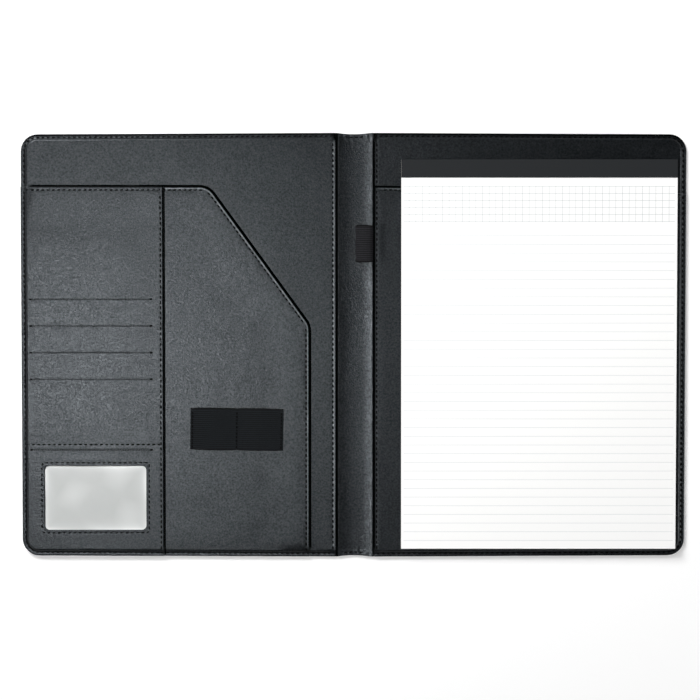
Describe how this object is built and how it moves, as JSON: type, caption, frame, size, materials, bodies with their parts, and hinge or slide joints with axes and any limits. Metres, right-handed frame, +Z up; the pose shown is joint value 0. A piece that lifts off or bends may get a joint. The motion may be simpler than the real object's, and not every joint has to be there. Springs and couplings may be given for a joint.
{
  "type": "leather portfolio folder",
  "caption": "Black leather A4 portfolio lying open: ruled notepad in a pocket at right, document pocket with card slots, clear window and elastic band at left, pen loop at the spine.",
  "frame": {"origin": "on the resting surface, under the middle of the spine of the folder lying open", "axes": "+X from the left cover to the right cover, +Y from the foot to the head of the pages, +Z up out of the open inside"},
  "size_m": [0.508, 0.3246, 0.0099],
  "materials": {
    "skin": "black grained leather",
    "lining": "black grained leather, satin",
    "board": "grey board",
    "pad_card": "matt card",
    "paper": "white writing paper, pale grey ruling",
    "binding": "dark grey binding paper",
    "slot_cloth": "thin black cloth",
    "film": "milky flexible film",
    "webbing": "black ribbed elastic webbing"
  },
  "bodies": {
    "right_cover": {"right_outer_skin": "skin", "right_board": "board", "right_lining": "lining", "pad_pocket": "lining", "pad_backing": "pad_card", "pad_sheets": "paper", "pad_binding": "binding"},
    "spine": {"spine_outer_skin": "skin", "spine_lining": "lining", "pen_loop": "webbing"},
    "left_cover": {"left_outer_skin": "skin", "left_board": "board", "left_lining": "lining", "document_pocket": "lining", "card_panel": "lining", "card_slot_backing_1": "slot_cloth", "card_slot_backing_2": "slot_cloth", "card_slot_backing_3": "slot_cloth", "card_slot_backing_4": "slot_cloth", "id_window_film": "film", "elastic_band": "webbing"}
  },
  "joints": [
    {"name": "right_hinge", "type": "hinge", "parent": "right_cover", "child": "spine", "pos_m": [0.01275, 0, 0.001], "axis": [0, 1, 0], "range_deg": [0, 90]},
    {"name": "left_hinge", "type": "hinge", "parent": "spine", "child": "left_cover", "pos_m": [-0.01275, 0, 0.001], "axis": [0, 1, 0], "range_deg": [0, 90]}
  ]
}
